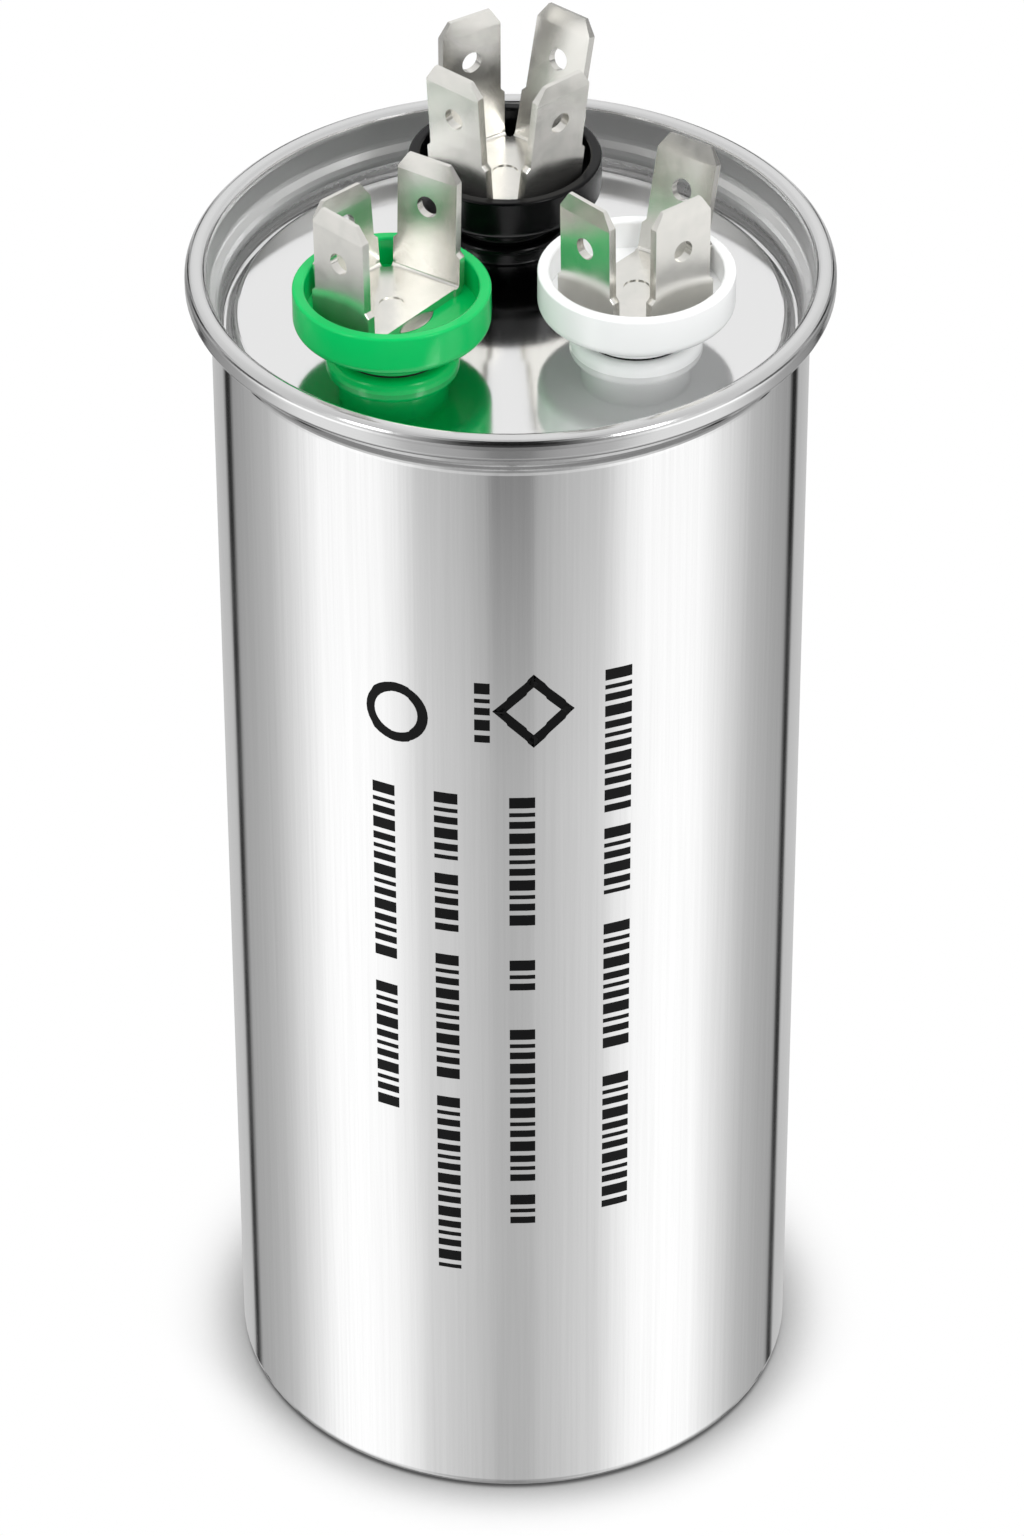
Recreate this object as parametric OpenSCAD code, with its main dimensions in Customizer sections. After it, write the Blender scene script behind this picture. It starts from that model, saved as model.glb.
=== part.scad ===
// Dual motor run capacitor: a drawn aluminium can with a double-seamed lid and
// three sets of quick-connect blades, each standing in its own insulating cup.
// Units are millimetres. The origin is the centre of the can's flat base, +Z is up.

/* [Can] */
// Outer diameter of the can body
can_d = 55; // [50:0.5:65]
// Height of the can to the top of its seam
can_h = 126.5; // [118:0.5:150]
// Thickness of the can wall
can_wall = 0.45; // [0.35:0.05:0.6]
// Thickness of the can floor
can_floor = 0.7; // [0.4:0.1:1.5]
// Outer radius where the wall turns into the floor
foot_r = 1.2; // [0.8:0.1:3]

/* [Double seam] */
// Thickness of the lid sheet
lid_t = 0.35; // [0.25:0.05:0.45]
// Gap between neighbouring layers of the seam
seam_gap = 0.03; // [0.02:0.01:0.06]
// Height of the seam from its lowest fold to its top
seam_h = 2.3; // [2.2:0.1:3]
// Outer radius of the two rounded top edges of the seam
seam_top_r = 0.9; // [0.8:0.05:1]
// How far the can wall flares outwards below the seam
flare_out = 1.06; // [0.6:0.02:1.4]
// Height of that flare
flare_h = 2.6; // [2:0.1:3]
// Height from the top of the flare to the lowest fold of the seam
flare_drop = 0.2; // [0.1:0.05:0.4]
// Gap at the end of each hook
hook_gap = 0.05; // [0.03:0.01:0.1]
// Width of the bead of sealing compound
compound_w = 0.24; // [0.1:0.01:0.26]
// Height of that bead
compound_h = 0.1; // [0.05:0.01:0.1]

/* [Lid] */
// Depth of the lid panel below the top of the seam
panel_depth = 5.1; // [4.9:0.1:8]
// Depth of the groove round the panel
groove_depth = 1.3; // [1.2:0.1:2]
// Radius of the groove's folds, at the middle of the sheet
groove_r = 0.7; // [0.5:0.05:0.9]
// Radius of the fold at the panel's edge, at the middle of the sheet
panel_edge_r = 0.5; // [0.3:0.05:0.6]

/* [Terminal places] */
// Common terminal, distance inside the can's outer surface
common_inset = 13.5; // [12.7:0.1:13.8]
// Direction of the common terminal from the can's axis, in degrees
common_bearing = 92; // [88:1:94]
// Compressor terminal, distance inside the can's outer surface
compressor_inset = 13.8; // [12.7:0.1:14.5]
// Direction of the compressor terminal from the can's axis
compressor_bearing = 218.5; // [214:0.5:222]
// Fan terminal, distance inside the can's outer surface
fan_inset = 14.7; // [13:0.1:14.9]
// Direction of the fan terminal from the can's axis
fan_bearing = 333; // [331:0.5:338]

/* [Insulating collars] */
// Radius of the collar between a cup and the lid
collar_r = 6.1; // [5.8:0.1:7]
// Height of a collar
collar_h = 1.1; // [0.8:0.1:1.6]
// Radius of a collar's rounded shoulder
collar_round_r = 0.75; // [0.3:0.05:0.75]

/* [Insulating cups] */
// Height of a cup's rim above the lid panel
cup_rise = 7.9; // [7.4:0.1:9]
// Outer radius of a cup
cup_r = 9; // [8.8:0.1:9.6]
// Thickness of a cup's wall
cup_wall = 1.1; // [0.8:0.1:1.3]
// Height of the upright outside of a cup
cup_side_h = 3.1; // [2.5:0.1:3.6]
// Depth of a cup inside
cup_depth = 2.8; // [2:0.1:3.2]
// Thickness of a cup's floor
cup_floor = 1.35; // [1.1:0.05:1.6]
// Radius of the rounded edges of a cup's rim
rim_edge_r = 0.25; // [0.1:0.05:0.35]
// Radius of the neck under a cup
neck_r = 5.05; // [4.9:0.05:5.5]
// Radius of the spigot that passes through the lid
spigot_r = 3.3; // [2.8:0.1:3.6]
// Clearance round a spigot and under its end
spigot_gap = 0.05; // [0.03:0.01:0.1]

/* [Quick-connect blades] */
// Thickness of the terminal sheet
blade_t = 0.8; // [0.7:0.05:0.9]
// Width of a blade
blade_w = 6.35; // [6:0.05:6.6]
// Length of a blade from its shoulders to its tip
blade_l = 8.7; // [8:0.1:10]
// Distance from a cup's centre to the middle of a blade's foot
blade_reach = 6; // [5.5:0.05:6]
// How far each shoulder stands out from the blade
shoulder = 0.43; // [0.2:0.01:0.45]
// Inner radius of the bend at a blade's foot
bend_r = 0.35; // [0.2:0.05:0.5]
// How far the plate's edge is set back at each end of a bend
bend_relief = 0.15; // [0.1:0.05:0.3]
// Width of the corner cut at a blade's tip
tip_cut_w = 0.95; // [0.5:0.05:1.4]
// Height of the corner cut at a blade's tip
tip_cut_h = 1.5; // [1:0.1:2]
// Length of the coined bevel at a blade's tip
tip_bevel_l = 1.7; // [1:0.1:2]
// Thickness left at a blade's tip
tip_t = 0.4; // [0.3:0.05:0.6]
// Radius of the dimple hole in a blade
hole_r = 1.05; // [0.7:0.05:1.3]
// Distance from a blade's tip to its hole
hole_down = 4.8; // [4:0.1:5.5]
// Height of the common terminal's legs, plate to shoulder
common_leg = 5; // [3:0.1:6]
// Height of the compressor terminal's legs, plate to shoulder
compressor_leg = 3.3; // [2.4:0.1:5]
// Height of the fan terminal's legs, plate to shoulder
fan_leg = 3; // [2.4:0.1:5]
// Directions of the common blades round their cup: right rear, left rear, left and right front
common_turn = [49, 123, 228, 312]; // [0:1:360]
// Outward lean of those blades, in degrees
common_lean = [13, 0, 4, 8]; // [0:1:15]
// Directions of the compressor blades: right rear, left rear, left front
compressor_turn = [57, 133, 225]; // [0:1:360]
// Outward lean of those blades
compressor_lean = [2, 5, 1]; // [0:1:15]
// Directions of the fan blades: right rear, left front, right front
fan_turn = [55, 223, 309]; // [0:1:360]
// Outward lean of those blades
fan_lean = [14, 1, 0]; // [0:1:15]
// Length of the compressor terminal's short blade
short_blade_l = 5.6; // [5:0.1:8]
// Distance from the short blade's tip to its hole
short_hole_down = 3.3; // [3:0.1:4]
// Radius of the weld dimple in a terminal's plate
weld_r = 1.2; // [0.8:0.1:1.6]
// Depth of the weld dimple
weld_depth = 0.12; // [0.05:0.01:0.2]

/* [Rivets and inner terminal stack] */
// Radius of a rivet's shank
rivet_r = 2; // [1.5:0.1:2.2]
// Radius of a rivet's head
rivet_head_r = 3.7; // [3:0.1:3.8]
// Thickness of a rivet's head
rivet_head_t = 1; // [0.8:0.05:1.1]
// Radius of a rivet's closed end
rivet_tail_r = 3.1; // [2.8:0.1:3.3]
// Thickness of a rivet's closed end
rivet_tail_t = 0.8; // [0.6:0.1:1]
// Clearance round a rivet's shank and head
rivet_gap = 0.05; // [0.03:0.01:0.1]
// Thickness of the rubber seal under a cup's neck
seal_t = 0.3; // [0.2:0.05:0.5]
// How far the seal is set back from the neck
seal_inset = 0.15; // [0.05:0.05:0.3]
// Radius of the lower bush's flange
bush_r = 6.8; // [6.4:0.1:7.2]
// Thickness of the lower bush's flange
bush_t = 1.2; // [1:0.1:1.4]
// Radius of the washer under a bush
washer_r = 4.2; // [3.8:0.1:4.6]
// Thickness of that washer
washer_t = 0.5; // [0.4:0.1:0.6]
// Radius of a solder tag's eye
tag_r = 3.6; // [3.4:0.1:4]
// Thickness of a solder tag
tag_t = 0.4; // [0.3:0.05:0.5]
// Width of a solder tag's tail
tag_w = 3.4; // [3:0.1:4]
// Distance from a rivet to the wire on its solder tag
tag_l = 7; // [6:0.1:7.5]

/* [Windings] */
// Clearance between the compressor winding and the wall of its tray
winding_gap = 0.8; // [0.5:0.1:2]
// Height above the fan winding for the wires
wire_room = 12; // [11.5:0.5:16]
// Radius of the fan winding
small_r = 13; // [11:0.1:13.5]
// Length of the fan winding
small_l = 25; // [18:0.5:25]
// Outer radius of the compressor winding's core
big_core_r = 5; // [4.5:0.1:6]
// Outer radius of the fan winding's core
small_core_r = 4; // [3.5:0.1:4.4]
// Wall of both winding cores
core_wall = 1; // [0.6:0.1:1.2]
// Thickness of the sprayed zinc on the winding ends
zinc_t = 0.6; // [0.4:0.1:0.8]
// Clearance between a winding and its core
core_gap = 0.02; // [0.01:0.01:0.05]

/* [Inner plastic pieces] */
// Wall of the liner between the windings and the can
liner_t = 0.4; // [0.3:0.05:0.5]
// Clearance between nested pieces inside the can
nest_gap = 0.15; // [0.1:0.05:0.2]
// Floor thickness of the cup under the windings
tray_floor = 2.1; // [2:0.1:3]
// Depth of the wire pit in that floor
tray_pit = 1.3; // [1.3:0.05:1.4]
// Radius of the wire pit
tray_pit_r = 14; // [13.5:0.5:18]
// Wall height of the cup under the windings
tray_h = 12; // [6:0.5:20]
// Wall of the tray and of the winding holder
moulded_wall = 1; // [0.8:0.1:1.2]
// Thickness of the spacer between the windings
spacer_t = 1.5; // [1:0.1:2]
// Height of the hub that centres the fan winding
hub_h = 12; // [8:0.5:16]
// Thickness of the interrupter disc
disc_t = 1.2; // [0.8:0.1:1.4]
// Gap between the rivets and the interrupter disc
disc_drop = 0.7; // [0.5:0.1:0.9]
// Radius of the vent hole in the interrupter disc
vent_r = 1.6; // [1:0.1:1.8]
// Wall of the hub that centres the fan winding
hub_wall = 1.2; // [0.8:0.1:1.6]
// Gap under that hub
hub_gap = 0.5; // [0.3:0.1:1]

/* [Wires] */
// Radius of a lead wire
wire_r = 0.6; // [0.4:0.05:0.65]
// Wall of the sleeve on the compressor wire
sleeve_wall = 0.5; // [0.3:0.1:0.6]
// Clearance round a wire in a hole or in its sleeve
wire_gap = 0.1; // [0.05:0.05:0.15]
// Distance from the edge of the spacer to the common wire
common_wire_inset = 6.85; // [6:0.05:8]
// Distance from the can's axis to the fan wire's weld
fan_wire_x = 9; // [7:0.5:10]
// Height of the straight part of the fan wire above its weld
fan_wire_h = 4; // [2:0.5:6]
// Radius of each bend in a wire
wire_turn_r = 1.1; // [0.9:0.1:1.2]
// Height over which a wire leans across to its solder tag
wire_lean_h = 4; // [3:0.5:5]
// Length of the compressor wire lying in the pit
pit_wire_l = 12; // [8:0.5:13]
// Width of the jumper strip
jumper_w = 3; // [2:0.1:4]
// Thickness of the jumper strip
jumper_t = 0.6; // [0.4:0.1:0.8]

/* [Hidden] */
$fn = 96;
arc_step = 11.25;
eps = 0.01;

// Colours of the sheet metals, plastics and inner pieces
can_colour = [0.78, 0.79, 0.80];
lid_colour = [0.72, 0.73, 0.72];
blade_colour = [0.80, 0.79, 0.76];
black_colour = [0.05, 0.05, 0.05];
green_colour = [0.00, 0.72, 0.33];
white_colour = [0.94, 0.95, 0.95];
rubber_colour = [0.10, 0.10, 0.10];
bush_colour = [0.85, 0.82, 0.72];
liner_colour = [0.90, 0.90, 0.86];
film_colour = [0.75, 0.76, 0.80];
zinc_colour = [0.60, 0.61, 0.63];
wire_colour = [0.75, 0.60, 0.40];

// Blades of each terminal: [direction round the cup, outward lean, short or not]
common_blades = [for (i = [0:3]) [common_turn[i], common_lean[i], false]];
compressor_blades = [for (i = [0:2]) [compressor_turn[i], compressor_lean[i], i == 1]];
fan_blades = [for (i = [0:2]) [fan_turn[i], fan_lean[i], false]];

// Terminal centres
common_at = (can_d / 2 - common_inset) * [cos(common_bearing), sin(common_bearing)];
compressor_at = (can_d / 2 - compressor_inset)
    * [cos(compressor_bearing), sin(compressor_bearing)];
fan_at = (can_d / 2 - fan_inset) * [cos(fan_bearing), sin(fan_bearing)];

// Seam layers, from the can body outwards: radius of the middle of each sheet
can_mid = can_d / 2 - can_wall / 2;
layer_step = can_wall / 2 + lid_t / 2 + seam_gap;
lid_mid = can_mid - layer_step;
wall_mid = can_mid + flare_out;
chuck_mid = lid_mid + flare_out;
cover_hook_mid = wall_mid + layer_step;
body_hook_mid = cover_hook_mid + layer_step;
skirt_mid = body_hook_mid + layer_step;

// The flare is two equal arcs that meet on their common tangent
flare_angle = 2 * atan(flare_out / flare_h);
flare_r = flare_h / (2 * sin(flare_angle));
flare_top = can_h - seam_h - flare_drop;
flare_bottom = flare_top - flare_h;

// Seam folds
top_fold_r = seam_top_r - lid_t / 2;
can_fold_r = (body_hook_mid - wall_mid) / 2;
can_fold_z = can_h - lid_t - seam_gap - can_wall / 2 - can_fold_r;
lid_fold_r = (skirt_mid - cover_hook_mid) / 2;
lid_fold_z = can_h - seam_h + lid_t / 2 + lid_fold_r;

// Lid heights
panel_z = can_h - panel_depth;
panel_mid = panel_z - lid_t / 2;
groove_mid = panel_mid - groove_depth + groove_r;
panel_r = lid_mid - 2 * groove_r - panel_edge_r;
lid_under = panel_z - lid_t;
groove_under = panel_z - groove_depth - lid_t;
collar_z = panel_z + collar_h;

// Cup heights
rim_z = panel_z + cup_rise;
cup_floor_z = rim_z - cup_depth;
cup_under_z = cup_floor_z - cup_floor;
cup_round_r = cup_depth + cup_floor - cup_side_h;
neck_z = collar_z + seal_t;
spigot_z = lid_under + spigot_gap;

// Terminal sheet
plate_z = cup_floor_z + blade_t;
foot_w = blade_w + 2 * shoulder;
plate_r = blade_reach - blade_t / 2 - bend_r;
bend_mid = bend_r + blade_t / 2;
bend_lap = 0.2;

// Inner stack heights, from the lid down
bush_z = lid_under - bush_t;
washer_z = bush_z - washer_t;
tag_z = washer_z - tag_t;
rivet_end_z = tag_z - rivet_tail_t;
disc_top = rivet_end_z - disc_drop;
disc_z = disc_top - disc_t;

// Inner radii, from the can wall inwards
liner_r = can_d / 2 - can_wall - nest_gap;
nest_r = liner_r - liner_t - nest_gap;

// Winding stack heights: the fan winding hangs below the wire room, and the compressor
// winding fills what is left down to the tray
tray_top = can_floor + tray_floor;
big_z = tray_top + zinc_t;
small_end = disc_z - wire_room;
small_top = small_end - zinc_t;
small_z = small_top - small_l;
small_zinc_z = small_z - zinc_t;
hub_z = small_zinc_z + hub_gap;
jumper_z = small_zinc_z - jumper_t;
spacer_z = jumper_z - spacer_t;
big_top = spacer_z - zinc_t;
big_l = big_top - big_z;
big_r = nest_r - moulded_wall - winding_gap;
common_wire_y = nest_r - common_wire_inset;

// Wires: where each one meets its solder tag, and the heights of its bends
pit_wire_z = tray_top - wire_r;
lean_top = disc_z - wire_lean_h;
lean_foot = lean_top - wire_lean_h;
wire_lap = 0.02;
common_wire_end = tag_end(common_at);
compressor_wire_end = tag_end(compressor_at);
fan_wire_end = tag_end(fan_at);

function tag_end(at) = at * (1 - tag_l / norm(at));
function at_z(xy, z) = [xy[0], xy[1], z];

// ---- folded sheet, drawn as [radius, height] ----

// A sheet's middle line is a list of arcs [centre, radius, first angle, last angle],
// joined by straight stretches. It turns left where the angle grows.
function arc_points(centre, r, first, last) =
    let (steps = ceil(abs(last - first) / arc_step))
    [for (i = [0:steps]) let (a = first + (last - first) * i / steps) centre + r * [cos(a), sin(a)]];

// Points of the sheet's face that lies 'left' of its middle line
function sheet_side(arcs, left) =
    [for (arc = arcs) each arc_points(arc[0], arc[1] - sign(arc[3] - arc[2]) * left, arc[2], arc[3])];

function reversed(points) = [for (i = [len(points) - 1:-1:0]) points[i]];

// Folded sheet with square ends at two points, given as [point, direction of travel]
module sheet(start, arcs, end, t) {
    polygon(concat([end_side(start, -t / 2)], sheet_side(arcs, -t / 2), [end_side(end, -t / 2)],
        [end_side(end, t / 2)], reversed(sheet_side(arcs, t / 2)), [end_side(start, t / 2)]));
}

function end_side(end, left) = end[0] + left * [-sin(end[1]), cos(end[1])];

// Flare below the seam, for a sheet that lies 'inset' inside the can wall
function flare(inset) = [
    [[can_mid + flare_r, flare_bottom], flare_r + inset, 180, 180 - flare_angle],
    [[wall_mid - flare_r, flare_top], flare_r - inset, -flare_angle, 0]];

module ring(inner, outer, z, h) {
    translate([0, 0, z]) difference() {
        cylinder(h = h, r = outer);
        translate([0, 0, -eps]) cylinder(h = h + 2 * eps, r = inner);
    }
}

// ---- can and lid ----

// Solid outline of a round can with a rounded foot
module can_outline(r, low, high, corner) {
    polygon(concat([[0, high], [0, low]],
        arc_points([r - corner, low + corner], corner, 270, 360), [[r, high]]));
}

// Floor, wall, flare and body hook
module can() {
    inner_foot_r = foot_r - can_wall;
    arcs = concat(flare(0), [[[wall_mid + can_fold_r, can_fold_z], can_fold_r, 180, 0]]);
    end = [[body_hook_mid, lid_fold_z + hook_gap], 270];
    half = can_wall / 2;
    color(can_colour) rotate_extrude() polygon(concat([[0, 0]],
        arc_points([can_d / 2 - foot_r, foot_r], foot_r, 270, 360),
        sheet_side(arcs, -half), [end_side(end, -half), end_side(end, half)],
        reversed(sheet_side(arcs, half)),
        arc_points([can_d / 2 - foot_r, can_floor + inner_foot_r], inner_foot_r, 360, 270),
        [[0, can_floor]]));
}

// Panel, groove, chuck wall, top of the seam, skirt and cover hook
module lid_sheet() {
    rotate_extrude() sheet([[0, panel_mid], 0], concat(
        [[[panel_r, panel_mid - panel_edge_r], panel_edge_r, 90, 0],
            [[lid_mid - groove_r, groove_mid], groove_r, 180, 360]],
        flare(layer_step),
        [[[chuck_mid + top_fold_r, can_h - seam_top_r], top_fold_r, 180, 90],
            [[skirt_mid - top_fold_r, can_h - seam_top_r], top_fold_r, 90, 0],
            [[skirt_mid - lid_fold_r, lid_fold_z], lid_fold_r, 360, 180]]),
        [[cover_hook_mid, can_fold_z - hook_gap], 90], lid_t);
}

module lid() {
    color(lid_colour) difference() {
        lid_sheet();
        for (at = [common_at, compressor_at, fan_at])
            translate(at_z(at, lid_under - eps))
                cylinder(h = lid_t + 2 * eps, r = spigot_r + spigot_gap);
    }
}

// Bead of sealing compound under the roof of the can's fold
module seam_compound() {
    mid = wall_mid + can_fold_r;
    color(rubber_colour) ring(mid - compound_w / 2, mid + compound_w / 2, can_fold_z, compound_h);
}

// ---- insulating cups, seals and rivets ----

// Upright wall with both top edges rounded
module rim_section(inner, outer, low, high, edge) {
    translate([inner, low]) square([outer - inner, high - edge - low]);
    translate([inner + edge, low]) square([outer - inner - 2 * edge, high - low]);
    for (r = [inner + edge, outer - edge]) translate([r, high - edge]) circle(edge);
}

module cup_section() {
    side_z = rim_z - cup_side_h;
    round_r = min(cup_round_r, cup_wall + cup_floor);
    rim_section(cup_r - cup_wall, cup_r, side_z, rim_z, rim_edge_r);
    translate([cup_r - round_r, side_z]) circle(round_r);
    translate([0, cup_under_z]) square([cup_r - round_r, cup_floor]);
    translate([0, neck_z]) square([neck_r, cup_under_z - neck_z]);
    translate([0, spigot_z]) square([spigot_r, neck_z - spigot_z]);
}

module cup(at, colour) {
    color(colour) translate(at) rotate_extrude() difference() {
        cup_section();
        translate([0, cup_floor_z]) square([cup_r - cup_wall, cup_depth]);
        translate([0, cup_floor_z - rivet_head_t]) square([rivet_head_r + rivet_gap, cup_depth]);
        square([rivet_r + rivet_gap, rim_z]);
    }
}

module seal(at) {
    color(rubber_colour) translate(at)
        ring(spigot_r + spigot_gap, neck_r - seal_inset, collar_z, seal_t);
}

// Ring with a rounded shoulder, standing on the lid round the cup's spigot
module collar(at, colour) {
    round_mid = [collar_r - collar_round_r, collar_h - collar_round_r];
    color(colour) translate(at_z(at, panel_z)) rotate_extrude()
        polygon(concat([[spigot_r + spigot_gap, 0], [collar_r, 0]],
            arc_points(round_mid, collar_round_r, 0, 90), [[spigot_r + spigot_gap, collar_h]]));
}

module rivet(at) {
    color(blade_colour) translate(at) {
        translate([0, 0, cup_floor_z - rivet_head_t]) cylinder(h = rivet_head_t, r = rivet_head_r);
        translate([0, 0, tag_z - eps])
            cylinder(h = cup_floor_z - rivet_head_t - tag_z + 2 * eps, r = rivet_r);
        translate([0, 0, rivet_end_z]) cylinder(h = rivet_tail_t, r = rivet_tail_r);
    }
}

// ---- quick-connect terminals: one stamping each, with its blades bent up ----

// Side view of a blade with the bend at its foot, as [distance outwards, height].
// The bend's axis is at the origin, and 'tip' is the blade's reach above its bend.
module blade_side(tip, lean) {
    out = [cos(lean), -sin(lean)];
    up = [sin(lean), cos(lean)];
    polygon(concat([[-bend_lap, -bend_r - blade_t]],
        arc_points([0, 0], bend_r + blade_t, 270, 360 - lean),
        [(bend_r + blade_t) * out + (tip - tip_bevel_l) * up,
            (bend_mid + tip_t / 2) * out + tip * up,
            (bend_mid - tip_t / 2) * out + tip * up,
            bend_r * out + (tip - tip_bevel_l) * up],
        arc_points([0, 0], bend_r, 360 - lean, 270), [[-bend_lap, -bend_r]]));
}

// Front view of a blade: legs, shoulders and cut corners, left open below and above
module blade_front(shoulder_z, tip) {
    half = [[foot_w / 2 + eps, -2 * bend_mid], [foot_w / 2 + eps, shoulder_z - shoulder],
        [blade_w / 2, shoulder_z], [blade_w / 2, tip - tip_cut_h],
        [blade_w / 2 - 2 * tip_cut_w, tip + tip_cut_h]];
    last = len(half) - 1;
    polygon(concat(half, [for (i = [0:last]) [-half[last - i][0], half[last - i][1]]]));
}

// A blade on its bend, with the bend's axis along X at the origin
module blade(leg, l, down, lean) {
    shoulder_z = leg - bend_r;
    tip = shoulder_z + l;
    difference() {
        intersection() {
            rotate([90, 0, 90]) linear_extrude(foot_w, center = true) blade_side(tip, lean);
            rotate([-lean, 0, 0]) translate([0, bend_mid, 0]) rotate([90, 0, 0])
                linear_extrude(4 * bend_mid, center = true) blade_front(shoulder_z, tip);
        }
        rotate([-lean, 0, 0]) translate([0, bend_mid, tip - down]) rotate([90, 0, 0])
            cylinder(h = 2 * blade_t, r = hole_r, center = true);
    }
}

// Plate that joins the feet of all the blades
module terminal_plate(directions) {
    polygon([for (a = directions, side = [-1, 1])
        (plate_r - bend_lap / 2) * [cos(a), sin(a)]
            + side * (foot_w / 2 - bend_relief) * [-sin(a), cos(a)]]);
}

module terminal(at, blades, leg) {
    color(blade_colour) translate(at_z(at, plate_z)) {
        difference() {
            translate([0, 0, -blade_t]) linear_extrude(blade_t)
                terminal_plate([for (b = blades) b[0]]);
            translate([0, 0, -weld_depth]) cylinder(h = blade_t, r = weld_r);
        }
        for (b = blades) rotate(b[0] - 90) translate([0, plate_r, bend_r])
            if (b[2]) blade(leg, short_blade_l, short_hole_down, b[1]);
            else blade(leg, blade_l, hole_down, b[1]);
    }
}

// ---- stack under the lid: bush, washer and solder tag on each rivet ----

module bush(at) {
    color(bush_colour) translate(at) ring(rivet_r + rivet_gap, bush_r, bush_z, bush_t);
}

module washer(at) {
    color(blade_colour) translate(at) ring(rivet_r + rivet_gap, washer_r, washer_z, washer_t);
}

// Ring under the washer, with a tail towards the can's axis for the wire
module tag(at) {
    color(blade_colour) translate(at_z(at, tag_z)) rotate(atan2(-at[1], -at[0]))
        linear_extrude(tag_t) difference() {
            union() {
                circle(tag_r);
                translate([0, -tag_w / 2]) square([tag_l, tag_w]);
                translate([tag_l, 0]) circle(tag_w / 2);
            }
            circle(rivet_r + rivet_gap);
        }
}

// ---- plastic pieces inside the can ----

// Disc that holds the wires while the lid can bulge away from it
module interrupter_disc() {
    color(bush_colour) difference() {
        translate([0, 0, disc_z]) cylinder(h = disc_t, r = nest_r);
        for (at = [common_wire_end, compressor_wire_end, fan_wire_end])
            translate(at_z(at, disc_z - eps)) cylinder(h = disc_t + 2 * eps, r = wire_r + wire_gap);
        translate([0, 0, disc_z - eps]) cylinder(h = disc_t + 2 * eps, r = vent_r);
    }
}

// Open tube between spacer and disc, with a ribbed hub that centres the fan winding
module winding_holder() {
    inner = nest_r - moulded_wall;
    hub_inner = small_r + nest_gap;
    color(liner_colour) {
        ring(inner, nest_r, jumper_z, disc_z - jumper_z);
        ring(hub_inner, hub_inner + hub_wall, hub_z, hub_h);
        for (a = [45:90:315]) rotate(a) translate([hub_inner + hub_wall / 2, -moulded_wall / 2, hub_z])
            cube([inner + moulded_wall / 2 - hub_inner - hub_wall / 2, moulded_wall, hub_h]);
    }
}

module winding_spacer() {
    color(bush_colour) difference() {
        translate([0, 0, spacer_z]) cylinder(h = spacer_t, r = nest_r);
        translate([0, 0, spacer_z - eps])
            cylinder(h = spacer_t + 2 * eps, r = small_core_r - core_wall);
        translate([0, common_wire_y, spacer_z - eps])
            cylinder(h = spacer_t + 2 * eps, r = wire_r + wire_gap);
    }
}

// Shallow cup under the windings, with a pit for the wire below their end
module winding_tray() {
    color(liner_colour) rotate_extrude() difference() {
        can_outline(nest_r, can_floor, can_floor + tray_h, foot_r - can_wall);
        translate([0, tray_top]) square([nest_r - moulded_wall, tray_h]);
        translate([0, tray_top - tray_pit]) square([tray_pit_r, tray_h]);
    }
}

module can_liner() {
    low = can_floor + foot_r - can_wall;
    color(liner_colour) ring(liner_r - liner_t, liner_r, low, groove_under - nest_gap - low);
}

// ---- windings ----

module winding(core_r, outer, z, l) {
    color(film_colour) ring(core_r + core_gap, outer, z, l);
}

module core(core_r, low, high) {
    color(liner_colour) ring(core_r - core_wall, core_r, low, high - low);
}

module zinc(core_r, outer, z) {
    color(zinc_colour) ring(core_r + core_gap, outer, z, zinc_t);
}

// ---- wires ----

// Round wire through a list of points, bent round at each turn
module wire(points) {
    last = len(points) - 1;
    heading = [for (i = [1:last]) (points[i] - points[i - 1]) / norm(points[i] - points[i - 1])];
    turn = [0, for (i = [1:last - 1]) acos(heading[i - 1] * heading[i]), 0];
    // each straight run stops short of its turns, but laps a little into them
    cut = [for (a = turn) a > 0 ? wire_turn_r * tan(a / 2) - wire_lap : 0];
    color(wire_colour) {
        for (i = [0:last - 1]) let (way = heading[i])
            translate(points[i] + cut[i] * way) rotate([0, acos(way[2]), atan2(way[1], way[0])])
                cylinder(h = norm(points[i + 1] - points[i]) - cut[i] - cut[i + 1], r = wire_r);
        for (i = [1:last - 1])
            wire_turn(points[i] - (cut[i] + wire_lap) * heading[i - 1], heading[i - 1], heading[i],
                turn[i]);
    }
}

// Bend that starts at a point along one heading and ends along another
module wire_turn(start, from, to, angle) {
    out = (from * cos(angle) - to) / sin(angle);
    axis = cross(out, from);
    centre = start - wire_turn_r * out;
    multmatrix([for (i = [0:2]) [out[i], from[i], axis[i], centre[i]]])
        rotate_extrude(angle = angle) translate([wire_turn_r, 0]) circle(wire_r + wire_lap);
}

module common_wire() {
    foot = [0, common_wire_y];
    wire([at_z(foot, spacer_z), at_z(foot, lean_foot),
        at_z(common_wire_end, lean_top), at_z(common_wire_end, tag_z)]);
}

module compressor_wire() {
    wire([[pit_wire_l, 0, pit_wire_z], [0, 0, pit_wire_z], [0, 0, lean_foot],
        at_z(compressor_wire_end, lean_top), at_z(compressor_wire_end, tag_z)]);
}

module fan_wire() {
    foot = [fan_wire_x, 0];
    wire([at_z(foot, small_end), at_z(foot, small_end + fan_wire_h),
        at_z(fan_wire_end, lean_top), at_z(fan_wire_end, tag_z)]);
}

module jumper_strip() {
    color(wire_colour) translate([-jumper_w / 2, small_core_r + core_wall, jumper_z])
        cube([jumper_w, common_wire_y - wire_r - small_core_r - core_wall, jumper_t]);
}

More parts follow.
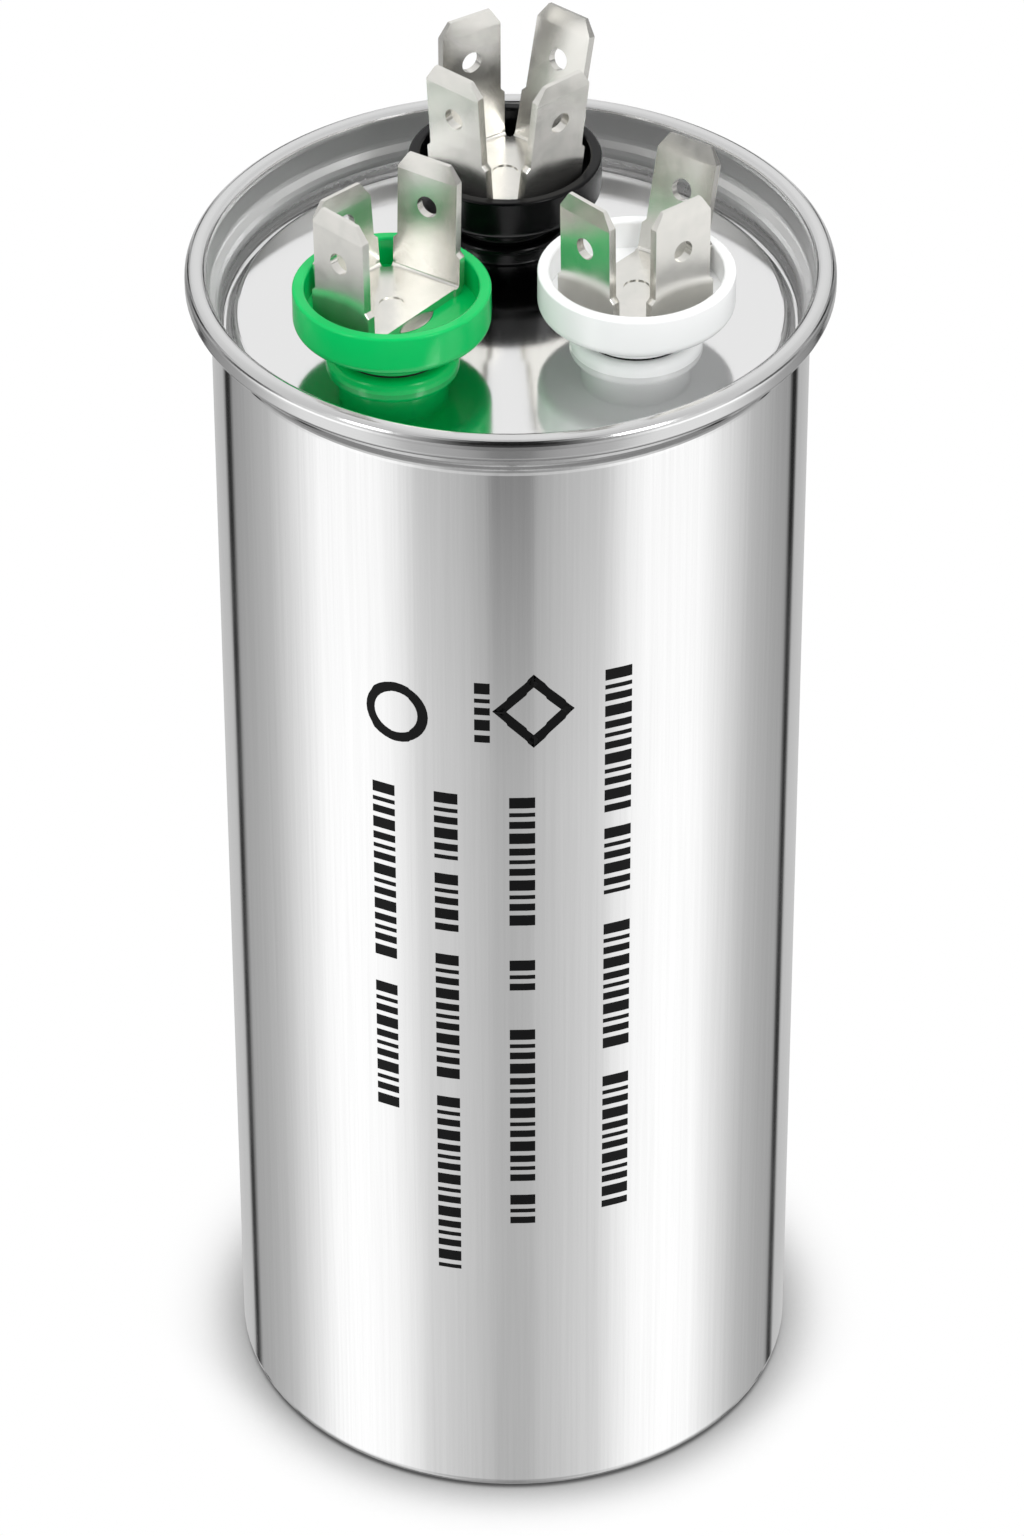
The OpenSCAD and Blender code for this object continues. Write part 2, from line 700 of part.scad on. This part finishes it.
module wire_sleeve() {
    bore = wire_r + wire_gap;
    color(rubber_colour) ring(bore, bore + sleeve_wall, big_z, lean_foot - wire_lean_h - big_z);
}

can();
lid();
seam_compound();
cup(common_at, black_colour);  // common_cup
cup(compressor_at, green_colour);  // compressor_cup
cup(fan_at, white_colour);  // fan_cup
collar(common_at, black_colour);  // common_collar
collar(compressor_at, green_colour);  // compressor_collar
collar(fan_at, white_colour);  // fan_collar
terminal(common_at, common_blades, common_leg);  // common_terminal
terminal(compressor_at, compressor_blades, compressor_leg);  // compressor_terminal
terminal(fan_at, fan_blades, fan_leg);  // fan_terminal
rivet(common_at);  // common_rivet
rivet(compressor_at);  // compressor_rivet
rivet(fan_at);  // fan_rivet
seal(common_at);  // common_seal
seal(compressor_at);  // compressor_seal
seal(fan_at);  // fan_seal
bush(common_at);  // common_bush
bush(compressor_at);  // compressor_bush
bush(fan_at);  // fan_bush
washer(common_at);  // common_washer
washer(compressor_at);  // compressor_washer
washer(fan_at);  // fan_washer
tag(common_at);  // common_tag
tag(compressor_at);  // compressor_tag
tag(fan_at);  // fan_tag
interrupter_disc();
winding_holder();
winding_spacer();
winding_tray();
can_liner();
winding(big_core_r, big_r, big_z, big_l);  // compressor_winding
winding(small_core_r, small_r, small_z, small_l);  // fan_winding
core(big_core_r, tray_top, spacer_z);  // compressor_core
core(small_core_r, small_zinc_z, small_end);  // fan_core
zinc(big_core_r, big_r, tray_top);  // compressor_zinc_bottom
zinc(big_core_r, big_r, big_top);  // compressor_zinc_top
zinc(small_core_r, small_r, small_zinc_z);  // fan_zinc_bottom
zinc(small_core_r, small_r, small_top);  // fan_zinc_top
common_wire();
compressor_wire();
fan_wire();
jumper_strip();
wire_sleeve();
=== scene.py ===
import math
import bpy
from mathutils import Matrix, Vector


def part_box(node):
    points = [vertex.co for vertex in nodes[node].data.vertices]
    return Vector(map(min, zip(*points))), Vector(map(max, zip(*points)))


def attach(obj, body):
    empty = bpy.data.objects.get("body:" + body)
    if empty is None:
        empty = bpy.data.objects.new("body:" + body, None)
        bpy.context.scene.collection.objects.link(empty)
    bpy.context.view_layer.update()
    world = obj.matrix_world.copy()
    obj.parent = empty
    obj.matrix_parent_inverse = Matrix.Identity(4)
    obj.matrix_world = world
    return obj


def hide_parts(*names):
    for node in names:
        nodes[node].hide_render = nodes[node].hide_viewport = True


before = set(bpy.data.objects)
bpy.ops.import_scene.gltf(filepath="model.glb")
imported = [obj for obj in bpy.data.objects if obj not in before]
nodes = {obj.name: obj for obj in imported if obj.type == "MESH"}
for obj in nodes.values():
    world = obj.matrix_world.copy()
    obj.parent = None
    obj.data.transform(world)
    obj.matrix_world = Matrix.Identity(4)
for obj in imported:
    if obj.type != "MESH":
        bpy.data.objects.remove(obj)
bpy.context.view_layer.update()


# ---------------------------------------------------------------- can
# Deep-drawn can of pure aluminium, ironed along its length, so that fine upright
# draw lines run from foot to seam. Its body hook disappears into the double seam.

MM = 0.001


def linear(hex_colour):
    """Turns an sRGB hex colour into linear RGBA."""
    parts = [int(hex_colour[i:i + 2], 16) / 255 for i in (1, 3, 5)]
    return [c / 12.92 if c <= 0.04045 else ((c + 0.055) / 1.055) ** 2.4 for c in parts] + [1]


def add(tree, kind, settings=(), links=()):
    """Adds a node, sets its properties, socket values or ramp stops, and links its inputs."""
    made = tree.nodes.new("ShaderNode" + kind)
    for key, value in dict(settings).items():
        if key == "stops":
            # (place, colour) pairs, a colour being a hex or a grey level
            elements = made.color_ramp.elements
            while len(elements) < len(value):
                elements.new(1)
            for element, (place, colour) in zip(elements, value):
                element.position = place
                element.color = (linear(colour) if isinstance(colour, str)
                                 else [colour] * 3 + [1])
        elif isinstance(key, str) and hasattr(made, key):
            setattr(made, key, value)
        else:
            made.inputs[key].default_value = value
    for key, output in dict(links).items():
        tree.links.new(output, made.inputs[key])
    return made


def new_material(name):
    """Makes an empty material, and gives it with its node tree and the place on the object."""
    made = bpy.data.materials.new(name)
    made.use_nodes = True
    made.node_tree.nodes.clear()
    return made, made.node_tree, add(made.node_tree, "TexCoord").outputs["Object"]


def give(material, *names):
    """Puts a material on CAD nodes."""
    for name in names:
        nodes[name].data.materials.clear()
        nodes[name].data.materials.append(material)


# Ironed aluminium: a satin mirror whose upright lines spread reflections sideways
drawn_aluminium, tree, place = new_material("drawn_aluminium")
# draw lines about 0.1 mm apart, drawn 0.4 mm apart and 36 mm long to show
line_gap, line_length = 0.4 * MM, 36 * MM
line_place = add(tree, "Mapping", {"Scale": (1 / line_gap, 1 / line_gap, 1 / line_length)},
                 {"Vector": place})
lines = add(tree, "TexNoise", {"Scale": 1, "Detail": 4, "Roughness": 0.65},
            {"Vector": line_place.outputs["Vector"]}).outputs["Fac"]
# broad dull patches from handling, about 14 mm across
patches = add(tree, "TexNoise", {"Scale": 1 / (14 * MM), "Detail": 2},
              {"Vector": place}).outputs["Fac"]
line_tint = add(tree, "ValToRGB", {"stops": [(0.3, "#e6e6e6"), (0.7, "#ededed")]},
                {"Fac": lines}).outputs["Color"]
roughness = add(tree, "MapRange", {"From Min": 0.3, "From Max": 0.7, "To Min": 0.06,
                                   "To Max": 0.1}, {"Value": patches}).outputs["Result"]
relief = add(tree, "Bump", {"Strength": 0.08, "Distance": 0.03 * MM}, {"Height": lines})
shader = add(tree, "BsdfPrincipled", {"Metallic": 1.0},
             {"Base Color": line_tint, "Roughness": roughness,
              "Normal": relief.outputs["Normal"]})
add(tree, "OutputMaterial", {}, {"Surface": shader.outputs["BSDF"]})
give(drawn_aluminium, "can")


# ---------------------------------------------------------------- print on the can
# Rating lines screen-printed in black ink down the front of the can. Here they are
# plain rows of wide and narrow blocks under two plain marks, with no words in them.

can_low, can_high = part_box("can")
can_radius = (can_high[0] - can_low[0]) / 2
ink_proud, ink_thick = 0.02 * MM, 0.03 * MM
block_gap = 0.55 * MM
# each stroke is made flat, just clear of the can's front, and wrapped on later
stroke_y = -can_radius - 0.5 * MM
strokes = []


def set_round_can(stroke, bearing):
    """Turns a stroke from the can's front to its bearing, in degrees."""
    bpy.ops.object.transform_apply()
    stroke.rotation_euler = (0, 0, math.radians(bearing))
    bpy.ops.object.transform_apply()
    strokes.append(stroke)


# bearing in degrees round the can, block height, and the top and bottom of each word, in mm
print_rows = ((-25.5, 2.56, ((85.5, 64.4), (62.0, 46.1))),
              (-12.8, 2.4, ((85.8, 77.6), (76.4, 69.2), (66.9, 51.0), (49.7, 27.6))),
              (2.0, 2.56, ((85.7, 70.6), (66.7, 62.4), (58.4, 39.2), (38.1, 33.4))),
              (20.8, 2.8, ((99.2, 82.8), (81.1, 72.2), (69.9, 54.2), (51.6, 34.6))),
              (-5.6, 1.6, ((98.6, 91.6),)))
# blocks of three widths follow one another along a word
block_widths = (1.2, 0.45, 0.8, 1.2, 0.8, 0.45, 0.8)
for bearing, tall, words in print_rows:
    for top, bottom in words:
        edge_z, step = top * MM, 0
        while edge_z - block_widths[step % len(block_widths)] * MM >= bottom * MM:
            width = block_widths[step % len(block_widths)] * MM
            bpy.ops.object.select_all(action="DESELECT")
            bpy.ops.mesh.primitive_grid_add(
                x_subdivisions=8, y_subdivisions=2, size=1, rotation=(math.pi / 2, 0, 0),
                location=(0, stroke_y, edge_z - width / 2))
            bpy.context.object.scale = (tall * MM, width, 1)
            set_round_can(bpy.context.object, bearing)
            edge_z -= width + block_gap
            step += 1
# a ring and a diamond stand for the marks: bearing, height and radius, and its corners
mark_line, mark_sides = 1.0 * MM, 64
for bearing, height, radius, corners in ((-22.6, 94.0, 3.3, 32), (4.2, 95.5, 4.1, 4)):
    bpy.ops.object.select_all(action="DESELECT")
    bpy.ops.mesh.primitive_circle_add(vertices=corners, radius=radius * MM, fill_type="NGON",
                                      location=(0, stroke_y, height * MM),
                                      rotation=(math.pi / 2, 0, 0))
    bpy.ops.object.mode_set(mode="EDIT")
    bpy.ops.mesh.select_all(action="SELECT")
    bpy.ops.mesh.subdivide(number_cuts=mark_sides // corners - 1)
    bpy.ops.mesh.inset(thickness=mark_line)
    bpy.ops.mesh.delete(type="FACE")
    bpy.ops.object.mode_set(mode="OBJECT")
    set_round_can(bpy.context.object, bearing)

# all strokes become one print, wrapped on the can and thickened to a layer of ink
bpy.ops.object.select_all(action="DESELECT")
for stroke in strokes:
    stroke.select_set(True)
rating_print = strokes[0]
bpy.context.view_layer.objects.active = rating_print
bpy.ops.object.join()
rating_print.name = rating_print.data.name = "rating_print"
wrap = rating_print.modifiers.new("on_can", "SHRINKWRAP")
wrap.target = nodes["can"]
wrap.wrap_method = "NEAREST_SURFACEPOINT"
wrap.wrap_mode = "ABOVE_SURFACE"
wrap.offset = ink_proud
ink_layer = rating_print.modifiers.new("ink_layer", "SOLIDIFY")
ink_layer.thickness = ink_thick
ink_layer.offset = -1
for modifier in (wrap, ink_layer):
    bpy.ops.object.modifier_apply(modifier=modifier.name)
sharp_from = math.radians(30)
bpy.ops.object.shade_smooth_by_angle(angle=sharp_from)

# Screen-printed epoxy ink: near black, half matt, with a faint mesh texture
screen_ink, tree, place = new_material("black_screen_ink")
# mesh of the screen, about 0.1 mm, drawn as 0.2 mm to show
mesh_marks = add(tree, "TexNoise", {"Scale": 1 / (0.2 * MM), "Detail": 1},
                 {"Vector": place}).outputs["Fac"]
relief = add(tree, "Bump", {"Strength": 0.1, "Distance": 0.01 * MM}, {"Height": mesh_marks})
shader = add(tree, "BsdfPrincipled",
             {"Base Color": linear("#060607"), "Roughness": 0.5, "IOR": 1.25},
             {"Normal": relief.outputs["Normal"]})
add(tree, "OutputMaterial", {}, {"Surface": shader.outputs["BSDF"]})
rating_print.data.materials.append(screen_ink)
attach(rating_print, "root")


# ---------------------------------------------------------------- lid
# Stamped lid of bright tinplate, nearly a mirror, with a groove round its flat panel
# and a hole for each rivet. Its skirt is rolled round the can's hook.

# Bright tinplate: the panel keeps the mill's gloss, the drawn wall is stretched dull and
# pale, and the seam is rolled smooth and darker
tinplate, tree, place = new_material("bright_tinplate")
# rolling grain along the sheet, about 0.1 mm apart, drawn 0.5 mm apart to show
grain_gap, grain_length = 0.5 * MM, 13.33 * MM
grain_place = add(tree, "Mapping", {"Scale": (1 / grain_gap, 1 / grain_length, 1 / grain_gap)},
                  {"Vector": place})
grain = add(tree, "TexNoise", {"Scale": 1, "Detail": 2},
            {"Vector": grain_place.outputs["Vector"]}).outputs["Fac"]
# each ramp goes by the distance from the can's axis, in parts of the lid's reach: the panel
# lies inside 25 mm, the wall stands at 27 mm, and the seam is outside 28 mm
reach = 30
flat_place = add(tree, "VectorMath", {"operation": "MULTIPLY",
                                      1: (1 / (reach * MM), 1 / (reach * MM), 0)}, {0: place})
radius = add(tree, "VectorMath", {"operation": "LENGTH"},
             {0: flat_place.outputs["Vector"]}).outputs["Value"]
dullness, tint, metal = [
    add(tree, "ValToRGB", {"stops": [(distance / reach, level) for distance, level in stops]},
        {"Fac": radius}).outputs["Color"]
    for stops in (
        ((24.9, 0.07), (26.5, 0.1), (26.8, 0.34), (27.7, 0.34), (28.1, 0.12)),
        ((26.5, "#dddddd"), (26.8, "#efefef"), (27.7, "#efefef"), (28.2, "#cecece")),
        ((26.5, 1.0), (26.8, 0.78), (27.7, 0.78), (28.1, 1.0)))]
roughness = add(tree, "Math", {"operation": "MULTIPLY_ADD", 1: 0.06},
                {0: grain, 2: dullness}).outputs["Value"]
relief = add(tree, "Bump", {"Strength": 0.05, "Distance": 0.01 * MM}, {"Height": grain})
shader = add(tree, "BsdfPrincipled", {},
             {"Base Color": tint, "Metallic": metal, "Roughness": roughness,
              "Normal": relief.outputs["Normal"]})
add(tree, "OutputMaterial", {}, {"Surface": shader.outputs["BSDF"]})
give(tinplate, "lid")


# ---------------------------------------------------------------- insulating cups
# Moulded thermoset cups and collars, a pair per terminal: black for common, green for
# the compressor and white for the fan. Polished mould walls leave them glossy.

for terminal, colour, dullness, index in (("common", "#050506", 0.2, 1.25),
                                          ("compressor", "#00c463", 0.2, 1.33),
                                          ("fan", "#fbfcfc", 0.25, 1.45)):
    moulding, tree, place = new_material(terminal + "_moulding")
    # faint waviness of a moulded face, about 3 mm across
    waves = add(tree, "TexNoise", {"Scale": 1 / (3 * MM), "Detail": 1},
                {"Vector": place}).outputs["Fac"]
    relief = add(tree, "Bump", {"Strength": 0.05, "Distance": 0.05 * MM}, {"Height": waves})
    shader = add(tree, "BsdfPrincipled",
                 {"Base Color": linear(colour), "Roughness": dullness, "IOR": index},
                 {"Normal": relief.outputs["Normal"]})
    add(tree, "OutputMaterial", {}, {"Surface": shader.outputs["BSDF"]})
    give(moulding, terminal + "_cup", terminal + "_collar")


# ---------------------------------------------------------------- terminals
# Blades and plate stamped from one strip of tinned brass and bent up at the feet, with
# sheared edges that are just broken. The plate is welded on the head of the cup's rivet.

# Tinned brass strip: satin, faintly warm and softly clouded
tin, tree, place = new_material("satin_tin_on_brass")
# clouds about 2 mm across
clouds = add(tree, "TexNoise", {"Scale": 1 / (2 * MM), "Detail": 2},
             {"Vector": place}).outputs["Fac"]
tint = add(tree, "ValToRGB", {"stops": [(0.3, "#d4d3ce"), (0.7, "#dddbd6")]},
           {"Fac": clouds}).outputs["Color"]
roughness = add(tree, "MapRange", {"From Min": 0.3, "From Max": 0.7, "To Min": 0.2,
                                   "To Max": 0.26}, {"Value": clouds}).outputs["Result"]
shader = add(tree, "BsdfPrincipled", {"Metallic": 0.93},
             {"Base Color": tint, "Roughness": roughness})
add(tree, "OutputMaterial", {}, {"Surface": shader.outputs["BSDF"]})

terminals = ("common", "compressor", "fan")
for name in [terminal + "_terminal" for terminal in terminals]:
    # a copy of the CAD stamping, without the properties that mark it as a CAD node
    bpy.ops.object.select_all(action="DESELECT")
    stamping = nodes[name].copy()
    stamping.data = nodes[name].data.copy()
    stamping.name = stamping.data.name = name + "_stamping"
    for key in list(stamping.keys()):
        del stamping[key]
    bpy.context.scene.collection.objects.link(stamping)
    stamping.select_set(True)
    bpy.context.view_layer.objects.active = stamping
    # loose triangles are merged, and each flat face made one
    bpy.ops.object.mode_set(mode="EDIT")
    bpy.ops.mesh.select_all(action="SELECT")
    bpy.ops.mesh.remove_doubles(threshold=0.002 * MM)
    bpy.ops.mesh.dissolve_limited(angle_limit=math.radians(1))
    bpy.ops.object.mode_set(mode="OBJECT")
    bpy.ops.object.shade_smooth_by_angle(angle=sharp_from)
    edge = stamping.modifiers.new("sheared_edge", "BEVEL")
    edge.width = 0.1 * MM
    edge.segments = 2
    edge.limit_method = "ANGLE"
    edge.angle_limit = sharp_from
    flat = stamping.modifiers.new("flat_faces", "WEIGHTED_NORMAL")
    flat.keep_sharp = True
    flat.weight = 100
    for modifier in (edge, flat):
        bpy.ops.object.modifier_apply(modifier=modifier.name)
    stamping.data.materials.clear()
    stamping.data.materials.append(tin)
    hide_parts(name)
    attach(stamping, "root")
give(tin, *[t + "_" + piece for t in terminals for piece in ("rivet", "washer", "tag")])


# ---------------------------------------------------------------- inside the can
# Rubber seals and sealing compound, moulded holders and sleeves, wound film with its
# zinc-sprayed ends, and tinned copper leads. Only the seals' edges can be seen.

windings = ("compressor", "fan")
# name, colour, metal share, dullness, size of its grain in mm, and the pieces made of it
for name, colour, metal, dullness, grit, made_of_it in (
        # cut and cast rubber: dull and black
        ("black_rubber", "#161616", 0, 0.7, 0.4,
         ["seam_compound"] + [t + "_seal" for t in terminals]),
        # moulded polyester: half matt, with a cloudy grain from its filler
        ("ivory_polyester", "#d9d1b8", 0, 0.5, 1.5,
         ["interrupter_disc"] + [t + "_bush" for t in terminals]),
        # moulded and drawn polypropylene: milky, with slow waves in its skin
        ("natural_polypropylene", "#e6e6dc", 0, 0.4, 3,
         ["winding_holder", "winding_spacer", "winding_tray", "can_liner", "wire_sleeve",
          "compressor_core", "fan_core"]),
        # film metallised with zinc and wound tight: a grey gleam
        ("wound_film", "#c3c6cc", 0.6, 0.35, 0.8,
         [w + "_winding" for w in windings]),
        # zinc sprayed from an arc: coarse and dull
        ("sprayed_zinc", "#9a9ca0", 1, 0.75, 0.3,
         [w + "_zinc_" + end for w in windings for end in ("bottom", "top")]),
        # drawn copper, tinned: bright and warm
        ("tinned_copper", "#d2cabb", 1, 0.25, 0.5,
         [t + "_wire" for t in terminals] + ["jumper_strip"])):
    stock, tree, place = new_material(name)
    grains = add(tree, "TexNoise", {"Scale": 1 / (grit * MM), "Detail": 3},
                 {"Vector": place}).outputs["Fac"]
    dapple = add(tree, "ValToRGB", {"stops": [(0.3, 0.5), (0.7, 1.0)]}, {"Fac": grains})
    shade = add(tree, "MixRGB",
                {"blend_type": "MULTIPLY", "Color1": linear(colour), "Fac": 0.12},
                {"Color2": dapple.outputs["Color"]})
    # the duller the stock, the rougher it is to the touch
    relief = add(tree, "Bump", {"Strength": 0.2 * dullness, "Distance": 0.05 * MM},
                 {"Height": grains})
    shader = add(tree, "BsdfPrincipled", {"Metallic": metal, "Roughness": dullness},
                 {"Base Color": shade.outputs["Color"], "Normal": relief.outputs["Normal"]})
    add(tree, "OutputMaterial", {}, {"Surface": shader.outputs["BSDF"]})
    give(stock, *made_of_it)


# ---------------------------------------------------------------- floor and camera
# A plain white sheet under the can, seen from above through a long lens. The metal
# doesn't mirror the sheet: the world stands in for the far larger white sweep it mirrors.

bpy.ops.object.select_all(action="DESELECT")
bpy.ops.mesh.primitive_plane_add(size=6)
floor = bpy.context.object
floor.name = "studio_floor"
floor.visible_glossy = False
# White paper with a painted shadow: an occlusion ramp darkens its colour close round the can's
# foot, and further out the sheet is lit to plain white
floor_paper, tree, place = new_material("white_paper_painted_shadow")
foot_shade, lit_from, lit_to = 9 * MM, 28 * MM, 38 * MM
# painted shadow: occlusion within 9 mm of the can darkens the paper's colour, down to 0.12 at
# the foot
corner = add(tree, "AmbientOcclusion", {"Distance": foot_shade})
shade = add(tree, "ValToRGB", {"stops": [(0.3, 0.12), (0.5, 0.43), (0.8, 0.8), (1.0, 0.93)]},
            {"Fac": corner.outputs["AO"]})
paper = add(tree, "BsdfDiffuse", {}, {"Color": shade.outputs["Color"]})
lit_paper = add(tree, "Emission", {"Strength": 1.0})
away = add(tree, "VectorMath", {"operation": "LENGTH"}, {0: place})
clear = add(tree, "MapRange", {"interpolation_type": "SMOOTHSTEP", "From Min": lit_from,
                               "From Max": lit_to}, {"Value": away.outputs["Value"]})
to_camera = add(tree, "Math", {"operation": "MULTIPLY"},
                {0: clear.outputs["Result"],
                 1: add(tree, "LightPath").outputs["Is Camera Ray"]})
sheet = add(tree, "MixShader", {}, {0: to_camera.outputs[0], 1: paper.outputs["BSDF"],
                                    2: lit_paper.outputs["Emission"]})
add(tree, "OutputMaterial", {}, {"Surface": sheet.outputs["Shader"]})
floor.data.materials.append(floor_paper)

scene = bpy.context.scene
camera_data = bpy.data.cameras.new("camera")
camera_data.sensor_width = 36
camera_data.lens = 161.55
camera_data.clip_end = 20
camera = bpy.data.objects.new("camera", camera_data)
scene.collection.objects.link(camera)
distance, aim_height = 663.85 * MM, 68.6 * MM
lift, roll = math.radians(36.767), math.radians(-0.1535)
camera.location = (0, -distance * math.cos(lift), aim_height + distance * math.sin(lift))
camera.rotation_euler = (math.pi / 2 - lift, 0, 0)
camera.rotation_euler.rotate_axis("Z", roll)
scene.camera = camera


# ---------------------------------------------------------------- studio light
# Soft boxes give the plastic its highlights and cast part of the floor's shadow, the rest of
# which is painted into the paper. The world stands in for the white sweep, the screens over it,
# the dark gap between the two that draws the seam's thin lines, and a narrow dark flag behind
# the can on each side.

# name, place, point aimed at, width and height in metres, and power in watts
for name, at, aim, width, height, power in (
        ("overhead_softbox", (0, 0.15, 1.1), (0, 0, 0.1), 1.0, 1.0, 1.2),
        ("left_strip", (-0.75, -0.55, 0.8), (0, 0, 0.12), 0.2, 0.5, 1.5),
        ("right_strip", (0.7, -0.62, 0.82), (0, 0, 0.12), 0.25, 0.5, 2.5)):
    lamp_data = bpy.data.lights.new(name, "AREA")
    lamp_data.shape = "RECTANGLE"
    lamp_data.size, lamp_data.size_y, lamp_data.energy = width, height, power
    lamp = bpy.data.objects.new(name, lamp_data)
    scene.collection.objects.link(lamp)
    lamp.visible_glossy = name != "overhead_softbox"
    lamp.location = at
    lamp.rotation_euler = (Vector(at) - Vector(aim)).to_track_quat("Z", "Y").to_euler()

world = bpy.data.worlds.new("studio")
scene.world = world
world.use_nodes = True
tree = world.node_tree
tree.nodes.clear()
way = add(tree, "SeparateXYZ", {}, {"Vector": add(tree, "TexCoord").outputs["Generated"]})
front = add(tree, "Math", {"operation": "MULTIPLY", 1: -1}, {0: way.outputs["Y"]})
bearing = add(tree, "Math", {"operation": "ARCTAN2"},
              {0: way.outputs["X"], 1: front.outputs[0]})
either_side = add(tree, "Math", {"operation": "ABSOLUTE"}, {0: bearing.outputs[0]})
turn = add(tree, "Math", {"operation": "DIVIDE", 1: math.pi}, {0: either_side.outputs[0]})
# levels round either side, from in front of the can (0) to behind it (1)
below, low, horizon, screens = [
    add(tree, "ValToRGB", {"stops": stops}, {"Fac": turn.outputs[0]}).outputs["Color"]
    for stops in (
        # the sweep that the can's wall mirrors from below, with the flag near 0.78
        [(0.0, 0.53), (0.042, 0.54), (0.052, 0.6), (0.194, 0.78), (0.234, 0.97),
         (0.283, 1.15), (0.371, 1.22), (0.442, 1.17), (0.467, 1.05), (0.503, 0.92),
         (0.57, 0.68), (0.607, 0.56), (0.694, 0.45), (0.755, 0.42), (0.777, 0.03),
         (0.796, 0.03), (0.815, 0.58), (1.0, 0.6)],
        # the sweep just above that
        [(0.0, 0.2), (0.042, 0.21), (0.052, 0.36), (0.1, 0.5), (0.2, 0.62), (0.25, 0.95),
         (0.3, 1.15), (0.44, 1.15), (0.5, 0.9), (0.6, 0.55), (0.7, 0.4), (0.755, 0.35),
         (0.777, 0.02), (0.8, 0.02), (0.82, 0.5), (1.0, 0.6)],
        # the sweep round the horizon, where it is softer
        [(0.0, 0.26), (0.06, 0.3), (0.12, 0.5), (0.2, 0.65), (0.28, 1.15), (0.45, 1.15),
         (0.52, 0.85), (0.6, 0.5), (0.7, 0.3), (0.8, 0.3), (0.88, 0.6), (1.0, 0.8)],
        # the screens overhead
        [(0.0, 0.0), (0.1, 0.0), (0.18, 0.35), (0.27, 0.8), (0.5, 0.87), (0.8, 0.95),
         (1.0, 1.1)])]
# each layer takes over from the one below it between two heights of the way looked
around = below
for layer, start, end in ((low, -0.6, -0.555), (horizon, -0.51, -0.45), (screens, 0.2, 0.4)):
    rise = add(tree, "MapRange", {"From Min": start, "From Max": end},
               {"Value": way.outputs["Z"]})
    around = add(tree, "MixRGB", {}, {"Fac": rise.outputs["Result"], "Color1": around,
                                      "Color2": layer}).outputs["Color"]
# the same all round, from straight down (0) to straight up (1): the shade under the can and
# its neck, the lit edge of the sweep, and the dark gap above that edge
height = add(tree, "MapRange", {"From Min": -1.0, "From Max": 1.0}, {"Value": way.outputs["Z"]})
by_height = add(tree, "ValToRGB", {"stops": [
    (0.0, 0.5), (0.09, 0.65), (0.14, 1.0), (0.4, 1.0), (0.43, 1.5), (0.49, 1.5), (0.52, 0.1),
    (0.57, 0.1), (0.6, 1.0)]}, {"Fac": height.outputs["Result"]})
once = add(tree, "MixRGB", {"blend_type": "MULTIPLY", "Fac": 1.0},
           {"Color1": around, "Color2": by_height.outputs["Color"]})
# the lid's wall sees the sweep a second time, by way of the panel
twice = add(tree, "ValToRGB", {"stops": [
    (0.0, 2.2), (0.42, 2.2), (0.5, 0.9), (0.56, 0.3), (0.6, 0.0), (0.74, 0.0), (0.8, 0.4),
    (1.0, 0.6)]}, {"Fac": turn.outputs[0]})
rising = add(tree, "MapRange", {"From Min": -0.1, "From Max": 0.1}, {"Value": way.outputs["Z"]})
panel_shade = (0.3, 0.3, 0.3, 1)
by_way_of_panel = add(tree, "MixRGB", {"Color1": panel_shade},
                      {"Fac": rising.outputs["Result"], "Color2": twice.outputs["Color"]})
rays = add(tree, "LightPath")
again = add(tree, "Math", {"operation": "GREATER_THAN", 1: 1.5},
            {0: rays.outputs["Glossy Depth"]})
sweep = add(tree, "MixRGB", {}, {"Fac": again.outputs[0], "Color1": once.outputs["Color"],
                                 "Color2": by_way_of_panel.outputs["Color"]})
mirrored = add(tree, "Background", {"Strength": 1.0}, {"Color": sweep.outputs["Color"]})
white = add(tree, "Background", {"Color": (1, 1, 1, 1), "Strength": 1.0})
# only what the eye sees mirrored has the screens: light on its way to plastic or paper is
# plain white, and so is the background
direct = add(tree, "Math", {"operation": "LESS_THAN", 1: 0.5},
             {0: rays.outputs["Diffuse Depth"]})
in_metal = add(tree, "Math", {"operation": "MULTIPLY"},
               {0: direct.outputs[0], 1: rays.outputs["Is Glossy Ray"]})
lit = add(tree, "MixShader", {},
          {0: in_metal.outputs[0], 1: white.outputs[0], 2: mirrored.outputs[0]})
background = add(tree, "Math", {"operation": "MAXIMUM"},
                 {0: rays.outputs["Is Camera Ray"], 1: rays.outputs["Is Transmission Ray"]})
shown = add(tree, "MixShader", {},
            {0: background.outputs[0], 1: lit.outputs[0], 2: white.outputs[0]})
add(tree, "OutputWorld", {}, {"Surface": shown.outputs[0]})

scene.view_settings.view_transform = "Standard"
